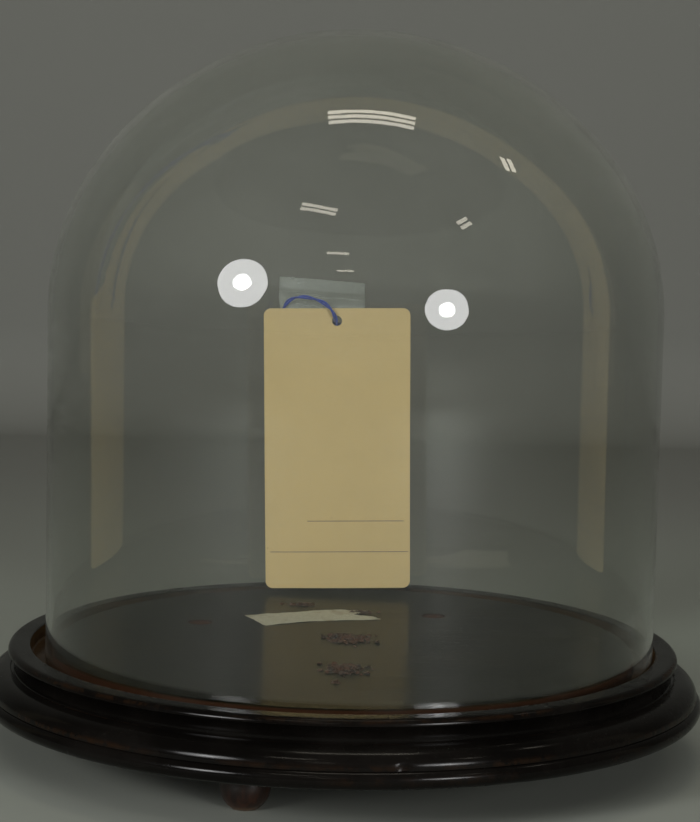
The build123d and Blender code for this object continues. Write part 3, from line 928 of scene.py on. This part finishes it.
class BELLJAR_OT_residue(bpy.types.Operator):
    """Leave the old glue and the torn paper on the stage"""

    bl_idname = "belljar.residue"
    bl_label = "Glue residue and torn paper"

    # middle across, middle back, half width, half depth, crumbs, height, all in millimetres
    patches = (
        (-23.5, 93.0, 11.0, 3.6, 60, 1.0),
        (3.0, 6.5, 16.0, 14.5, 190, 1.7),
        (1.0, -64.0, 12.5, 15.5, 170, 1.9),
        (-2.8, -91.5, 3.6, 3.0, 14, 0.9),
        (9.5, 74.5, 8.0, 3.0, 50, 1.1),
    )

    def execute(self, context):
        glue = self.glue()
        for number, patch in enumerate(self.patches, 1):
            self.patch(f"glue_residue_{number}", patch, glue, number)
        self.paper()
        return {"FINISHED"}

    def patch(self, name, patch, material, seed):
        """A crust of old glue with crumbs broken from it."""
        x, y, half_x, half_y, crumbs, height = patch
        rng = random.Random(seed * 7)
        bm = bmesh.new()
        bmesh.ops.create_uvsphere(bm, u_segments=56, v_segments=18, radius=1.0)
        for vert in bm.verts:
            co = vert.co
            turn = math.atan2(co.y, co.x)
            ring = Vector((math.cos(turn), math.sin(turn), seed))
            reach = 0.58 + 0.34 * wander(ring, 1.7, seed) + 0.22 * wander(ring, 4.3, seed * 3)
            out = math.hypot(co.x, co.y) * reach
            spot = Vector((out * math.cos(turn) * half_x, out * math.sin(turn) * half_y, 0))
            rise = max(co.z, 0.0) * height * 0.55 * (0.55 + 0.9 * abs(wander(spot, 0.5, seed * 5)))
            rise += 0.25 * height * max(co.z, 0.0) * wander(spot, 1.5, seed)
            vert.co = Vector((x + spot.x, y + spot.y, -0.1 if co.z < 0.02 else max(rise, 0.04))) * MM
        for _ in range(crumbs):
            turn, far = rng.uniform(0, math.tau), rng.gauss(0, 0.42)
            size = rng.uniform(0.35, 1.25) * (0.6 + 0.5 * height)
            spot = Vector((x + half_x * far * math.cos(turn), y + half_y * far * math.sin(turn), 0))
            shape = Matrix.Diagonal((rng.uniform(0.6, 1.7), rng.uniform(0.5, 1.0), rng.uniform(0.3, 0.6), 1))
            lift = max(height * (0.75 - abs(far)), 0.0) * rng.uniform(0.4, 1.0) + size * 0.3
            place = Matrix.Translation((spot + Vector((0, 0, lift))) * MM)
            tilt = Euler((rng.uniform(-0.5, 0.5), rng.uniform(-0.5, 0.5), rng.uniform(0, 6.3)))
            matrix = place @ tilt.to_matrix().to_4x4() @ shape
            made = bmesh.ops.create_icosphere(bm, subdivisions=1, radius=size * MM, matrix=matrix)
            for vert in made["verts"]:
                jolt = Vector((rng.uniform(-1, 1), rng.uniform(-1, 1), rng.uniform(-1, 1)))
                vert.co += jolt * 0.18 * size * MM
        for vert in bm.verts:
            vert.co.z = max(vert.co.z, -0.1 * MM)
        bmesh.ops.translate(bm, vec=(0, 0, STAGE_TOP), verts=bm.verts)
        bmesh.ops.recalc_face_normals(bm, faces=bm.faces)
        make_piece(name, bm, material, "base", (), 28)

    def glue(self):
        f = Finish("old_glue")
        place = f.place()
        tone = f.noise(place, 240.0, 4.0, 0.7)
        fine = f.noise(place, 1200.0, 3.0, 0.6)
        body = f.blend(f.span(tone, 0.36, 0.60), (0.010, 0.004, 0.003, 1), (0.075, 0.028, 0.013, 1))
        body = f.blend(f.span(fine, 0.60, 0.74, 0.0, 0.5), body, (0.26, 0.15, 0.08, 1))
        rough = f.span(tone, 0.35, 0.65, 0.42, 0.8)
        normal = f.bump(fine, 0.0003, 0.8)
        return f.done(f.principled(Base_Color=body, Roughness=rough, Normal=normal))

    def paper(self):
        """A torn scrap of paper, stuck to the stage and lifting at its edges."""
        outline = (
            (-51.5, 61.0), (-40.0, 35.6), (-27.5, 43.3), (-14.7, 49.8), (0.8, 53.3), (19.0, 57.8),
            (14.8, 65.0), (4.4, 68.2), (8.6, 73.4), (12.6, 77.9), (-1.9, 81.8), (-11.4, 79.4),
            (-22.9, 73.3), (-32.3, 69.1),
        )
        rng = random.Random(5)
        bm = bmesh.new()
        verts = [bm.verts.new((x * MM, y * MM, 0)) for x, y in outline]
        bm.faces.new(verts)
        bmesh.ops.subdivide_edges(bm, edges=bm.edges[:], cuts=9)
        for vert in bm.verts:
            torn = Vector((rng.uniform(-1, 1), rng.uniform(-1, 1), 0)) * 0.22
            torn += Vector((wander(vert.co, 420.0, 2.0), wander(vert.co, 420.0, 9.0), 0)) * 0.7
            vert.co += torn * MM
        bmesh.ops.triangulate(bm, faces=bm.faces[:], ngon_method="BEAUTY")
        inner = [e for e in bm.edges if not e.is_boundary]
        bmesh.ops.subdivide_edges(bm, edges=inner, cuts=2)
        bmesh.ops.triangulate(bm, faces=bm.faces[:])
        bmesh.ops.recalc_face_normals(bm, faces=bm.faces)
        if bm.faces[:][0].normal.z < 0:
            bmesh.ops.reverse_faces(bm, faces=bm.faces)
        for vert in bm.verts:
            lift = 0.22 + 0.28 * abs(wander(vert.co, 60.0, 4.0)) + 0.12 * wander(vert.co, 230.0, 1.0)
            vert.co.z = STAGE_TOP + max(lift, 0.18) * MM
        bmesh.ops.solidify(bm, geom=bm.faces[:], thickness=0.14 * MM)
        bmesh.ops.recalc_face_normals(bm, faces=bm.faces)
        f = Finish("torn_paper")
        place = f.place()
        fibre = f.noise(place, 700.0, 4.0, 0.7)
        stain = f.noise(place, 60.0, 4.0, 0.6, 0.4)
        body = f.blend(f.span(fibre, 0.3, 0.7), (0.47, 0.43, 0.33, 1), (0.62, 0.59, 0.47, 1))
        body = f.blend(f.span(stain, 0.50, 0.68, 0.0, 0.5), body, (0.26, 0.19, 0.10, 1))
        normal = f.bump(fibre, 0.0002, 0.5)
        material = f.done(f.principled(Base_Color=body, Roughness=0.8, Normal=normal))
        make_piece("torn_paper_scrap", bm, material, "base", (), 50)


# ---- Studio ------------------------------------------------------------------------------------


def make_camera():
    """The camera at the front, looking slightly down."""
    data = bpy.data.cameras.new("front_camera")
    data.lens = 110.36
    data.sensor_width = 36.0
    data.clip_start = 0.02
    camera = bpy.data.objects.new("front_camera", data)
    bpy.context.scene.collection.objects.link(camera)
    yaw, pitch, roll = (math.radians(a) for a in (0.05, 6.67, 1.20))
    ahead = Vector((math.sin(yaw) * math.cos(pitch), math.cos(yaw) * math.cos(pitch), -math.sin(pitch)))
    right = Vector((math.cos(yaw), -math.sin(yaw), 0))
    up = right.cross(ahead)
    right, up = right * math.cos(roll) + up * math.sin(roll), up * math.cos(roll) - right * math.sin(roll)
    turn = Matrix((right, up, -ahead)).transposed().to_4x4()
    camera.matrix_world = Matrix.Translation((0, -1.231, 0.3114)) @ turn
    bpy.context.scene.camera = camera


def aimed(spot, target):
    """A place and a turn whose -Z looks from spot to target."""
    turn = (Vector(target) - Vector(spot)).to_track_quat("-Z", "Y").to_matrix().to_4x4()
    return Matrix.Translation(spot) @ turn


def toward(hit, azimuth, elevation, distance):
    """The point at a distance from hit; azimuth 0 is the front and grows to the right."""
    a, e = math.radians(azimuth), math.radians(elevation)
    way = Vector((math.sin(a) * math.cos(e), -math.cos(a) * math.cos(e), math.sin(e)))
    return Vector(hit) + distance * way


def add_light(name, matrix, radiance, size, tint=(1, 1, 1), shape="RECTANGLE", seen=True, size_y=None):
    """An area light of that radiance, which mirrors and gloss show only if seen."""
    data = bpy.data.lights.new(name, "AREA")
    data.shape = shape
    data.size = size
    data.size_y = size_y or size
    area = math.pi * size**2 / 4 if shape == "DISK" else size * data.size_y
    data.energy = radiance * math.pi * area
    data.color = tint
    light = bpy.data.objects.new(name, data)
    bpy.context.scene.collection.objects.link(light)
    light.matrix_world = matrix
    light.visible_camera = False
    light.visible_transmission = False
    light.visible_glossy = seen
    return light


class BELLJAR_OT_studio(bpy.types.Operator):
    """Set up the pale floor, the grey backdrop and the soft light"""

    bl_idname = "belljar.studio"
    bl_label = "Studio"

    def execute(self, context):
        studio = context.scene.belljar_studio
        self.sweep(studio)
        self.room(studio)
        self.lamps()
        context.scene.view_settings.view_transform = "Standard"
        return {"FINISHED"}

    def sweep(self, studio):
        """A floor that curves up into a backdrop."""
        bm = bmesh.new()
        back, bend, tall = 1.27, 0.10, 4.0
        start = bm.verts.new((-4.0, -4.0, 0))
        end = bm.verts.new((4.0, -4.0, 0))
        edge = bm.edges.new((start, end))
        line = [(back - bend, 0.0)]
        for step in range(1, 25):
            turn = math.radians(90 * step / 24)
            line.append((back - bend + bend * math.sin(turn), bend - bend * math.cos(turn)))
        line.append((back, tall))
        spot = Vector((0, -4.0, 0))
        edges = [edge]
        for y, z in line:
            made = bmesh.ops.extrude_edge_only(bm, edges=edges)["geom"]
            verts = [v for v in made if isinstance(v, bmesh.types.BMVert)]
            edges = [e for e in made if isinstance(e, bmesh.types.BMEdge)]
            bmesh.ops.translate(bm, vec=Vector((0, y, z)) - spot, verts=verts)
            if z == 0.0:
                beyond = bmesh.ops.extrude_edge_only(bm, edges=edges)["geom"]
                far = [v for v in beyond if isinstance(v, bmesh.types.BMVert)]
                bmesh.ops.translate(bm, vec=(0, 4.0 - y, 0), verts=far)
            spot = Vector((0, y, z))
        bm.normal_update()
        toward_room = Vector((0, -1, 1))
        bmesh.ops.reverse_faces(bm, faces=[face for face in bm.faces if face.normal.dot(toward_room) < 0])
        f = Finish("studio_sweep")
        place = f.place()
        depth = f.add("SeparateXYZ", {0: place}).outputs[1]
        body = f.blend(f.span(depth, 0.25, 1.0), rgba(studio.floor), rgba(studio.wall))
        normal = f.bump(f.noise(place, 60.0, 3.0), 0.001, 0.1)
        front = f.principled(Base_Color=body, Roughness=0.75, Normal=normal)
        behind = f.add("NewGeometry").outputs["Backfacing"]
        open_back = f.add("BsdfTransparent").outputs[0]
        material = f.done(f.add("MixShader", {0: behind, 1: front, 2: open_back}).outputs[0])
        make_piece("studio_sweep", bm, material)

    def room(self, studio):
        world = bpy.data.worlds.new("studio_room")
        bpy.context.scene.world = world
        world.use_nodes = True
        sky = world.node_tree.nodes["Background"]
        sky.inputs["Color"].default_value = rgba(studio.sky)
        sky.inputs["Strength"].default_value = studio.sky_strength

    def lamps(self):
        warm = (1.0, 0.93, 0.78)
        for name, hit, azimuth, elevation, size in (
            ("left", (-0.047, -0.139, 0.239), -42.9, 15.7, 0.56),
            ("right", (0.042, -0.144, 0.229), 32.6, 7.4, 0.475),
        ):
            spot = toward(hit, azimuth, elevation, 1.6)
            add_light(f"lamp_{name}", aimed(spot, hit), 12.5, size, shape="DISK")
            near = toward(hit, azimuth, elevation, 1.58)
            add_light(f"lamp_{name}_core", aimed(near, hit), 26.0, size * 0.36, shape="DISK")
        panels = (
            ("right_high", (0.085, -0.090, 0.300), 98.9, 51.3, 0.16, 0.05, 2, 0.6),
            ("right_mid", (0.060, -0.120, 0.280), 48.0, 40.9, 0.16, 0.05, 2, 0.3),
            ("left_mid", (-0.015, -0.130, 0.290), -19.6, 49.5, 0.42, 0.045, 2, -0.1),
            ("front_high", (-0.006, -0.140, 0.260), -7.8, 30.9, 0.26, 0.035, 1, 0.0),
            ("front_low", (-0.003, -0.145, 0.245), -4.6, 23.8, 0.20, 0.025, 1, 0.0),
        )
        for name, hit, azimuth, elevation, long, wide, strips, turn in panels:
            spot = toward(hit, azimuth, elevation, 1.9)
            base = aimed(spot, hit) @ Matrix.Rotation(turn, 4, "Z")
            for strip in range(strips):
                shift = (strip - (strips - 1) / 2) * wide * 1.5
                matrix = base @ Matrix.Translation((0, shift, 0))
                add_light(f"panel_{name}_{strip}", matrix, 8.0, long, warm, size_y=wide)
        for strip in (-1, 0, 1):
            spot = (0.105, 0.025 + 0.083 * strip, 2.18)
            add_light(f"ceiling_{strip + 2}", Matrix.Translation(spot), 8.0, 0.75, warm, size_y=0.055)
        for name, azimuth in (("left", -112.0), ("right", 100.0)):
            spot = toward((0, 0, 0.25), azimuth, 6.0, 1.9)
            add_light(f"side_{name}", aimed(spot, (0, 0, 0.25)), 0.11, 0.35, (1.0, 0.88, 0.56), size_y=1.7)
        add_light("softbox", aimed((0.2, -1.9, 2.6), (0, 0.4, 0.1)), 1.0, 2.2, seen=False)


# ---- Sidebar and running -----------------------------------------------------------------------

GROUPS = (
    ("belljar_bell", BellSettings),
    ("belljar_base", BaseSettings),
    ("belljar_tag", TagSettings),
    ("belljar_studio", StudioSettings),
)
OPERATORS = (
    BELLJAR_OT_string,
    BELLJAR_OT_rim,
    BELLJAR_OT_base,
    BELLJAR_OT_bell,
    BELLJAR_OT_tag,
    BELLJAR_OT_tape,
    BELLJAR_OT_residue,
    BELLJAR_OT_studio,
)


class BELLJAR_PT_sidebar(bpy.types.Panel):
    """Lists the pieces and their settings."""

    bl_idname = "BELLJAR_PT_sidebar"
    bl_label = "Bell jar dome"
    bl_space_type = "VIEW_3D"
    bl_region_type = "UI"
    bl_category = "Bell jar"

    def draw(self, context):
        for operator in OPERATORS:
            self.layout.operator(operator.bl_idname)
        for name, group in GROUPS:
            box = self.layout.box()
            for key in group.__annotations__:
                box.prop(getattr(context.scene, name), key)


def register():
    for name, group in GROUPS:
        bpy.utils.register_class(group)
        setattr(bpy.types.Scene, name, PointerProperty(type=group))
    for operator in OPERATORS:
        bpy.utils.register_class(operator)
    bpy.utils.register_class(BELLJAR_PT_sidebar)


def unregister():
    bpy.utils.unregister_class(BELLJAR_PT_sidebar)
    for operator in reversed(OPERATORS):
        bpy.utils.unregister_class(operator)
    for name, group in reversed(GROUPS):
        delattr(bpy.types.Scene, name)
        bpy.utils.unregister_class(group)


def main():
    register()
    make_camera()
    for operator in OPERATORS:
        group, name = operator.bl_idname.split(".")
        getattr(getattr(bpy.ops, group), name)()


if __name__ == "__main__":
    main()
